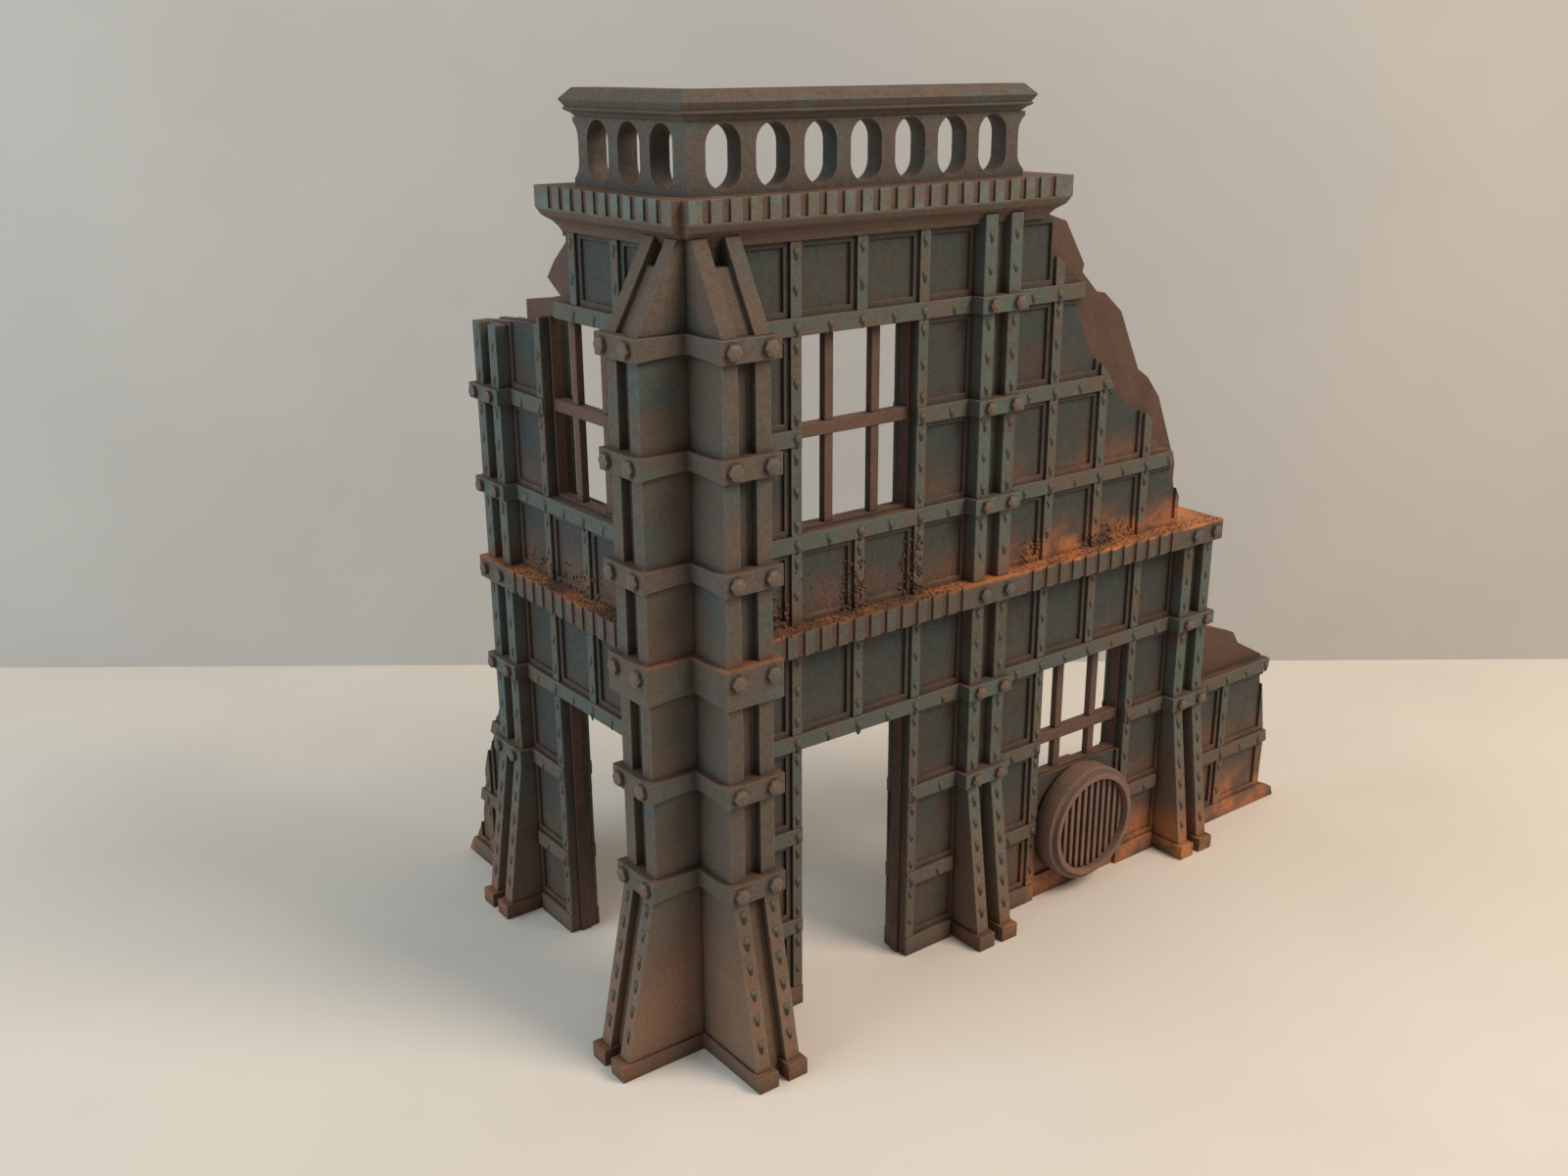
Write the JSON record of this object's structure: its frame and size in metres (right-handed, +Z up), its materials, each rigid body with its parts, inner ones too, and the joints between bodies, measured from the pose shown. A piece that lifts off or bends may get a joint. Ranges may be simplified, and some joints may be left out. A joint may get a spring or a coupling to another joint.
{
  "type": "miniature terrain ruin",
  "caption": "L-shaped corner ruin of riveted panel walls with buttresses, barred windows, toothed ledges and a balustrade; the upper storey lifts off.",
  "frame": {"origin": "on the ground, at the centre of the square corner post where the two walls meet", "axes": "+X along the front wall away from the corner, +Y along the side wall away from the corner, +Z up"},
  "size_m": [0.2528, 0.1537, 0.2268],
  "materials": {
    "plain_brown": "painted and dry-brushed 3-D print",
    "panel_iron": "painted and dry-brushed 3-D print",
    "frame_iron": "painted and dry-brushed 3-D print",
    "pier_iron": "painted and dry-brushed 3-D print",
    "strap_iron": "painted and dry-brushed 3-D print",
    "bolt_copper": "painted and dry-brushed 3-D print",
    "coping_iron": "painted and dry-brushed 3-D print",
    "rusted_iron": "painted and dry-brushed 3-D print"
  },
  "bodies": {
    "ground_storey": {"corner_post_lower": "pier_iron", "corner_straps_lower": "strap_iron", "drain_ring": "plain_brown", "drain_slats": "plain_brown", "end_pilaster": "pier_iron", "front_buttress_foot": "pier_iron", "front_buttress_lower": "pier_iron", "front_pilaster_lower": "pier_iron", "ground_front_core": "plain_brown", "ground_front_facing": "panel_iron", "ground_front_inner_frame": "frame_iron", "ground_front_lining": "panel_iron", "ground_front_rails": "frame_iron", "ground_front_studs": "frame_iron", "ground_side_core": "plain_brown", "ground_side_facing": "panel_iron", "ground_side_inner_frame": "frame_iron", "ground_side_lining": "panel_iron", "ground_side_rails": "frame_iron", "ground_side_studs": "frame_iron", "ground_window_bars": "plain_brown", "locating_tenons": "plain_brown", "pilaster_bands_lower": "strap_iron", "pilaster_bolts_lower": "bolt_copper", "plinth_blocks": "rusted_iron", "side_buttress_foot": "pier_iron", "side_buttress_lower": "pier_iron", "side_pilaster_lower": "pier_iron", "strap_bolts_lower": "bolt_copper"},
    "upper_storey": {"balustrade_front": "coping_iron", "balustrade_side": "coping_iron", "cap_rail": "coping_iron", "corner_post_upper": "pier_iron", "corner_straps_upper": "strap_iron", "cornice": "coping_iron", "front_buttress_cap": "pier_iron", "front_buttress_upper": "pier_iron", "front_pilaster_upper": "pier_iron", "front_window_bars": "plain_brown", "pilaster_bands_upper": "strap_iron", "pilaster_bolts_upper": "bolt_copper", "side_buttress_cap": "pier_iron", "side_buttress_upper": "pier_iron", "side_pilaster_upper": "pier_iron", "side_window_bars": "plain_brown", "storey_ledge": "rusted_iron", "strap_bolts_upper": "bolt_copper", "upper_front_core": "plain_brown", "upper_front_facing": "panel_iron", "upper_front_inner_frame": "frame_iron", "upper_front_lining": "panel_iron", "upper_front_rails": "frame_iron", "upper_front_studs": "frame_iron", "upper_side_core": "plain_brown", "upper_side_facing": "panel_iron", "upper_side_inner_frame": "frame_iron", "upper_side_lining": "panel_iron", "upper_side_rails": "frame_iron", "upper_side_studs": "frame_iron"}
  },
  "joints": [
    {"name": "upper_storey_lift", "type": "slide", "parent": "ground_storey", "child": "upper_storey", "axis": [0, 0, 1], "range_m": [0, 0.06]}
  ]
}
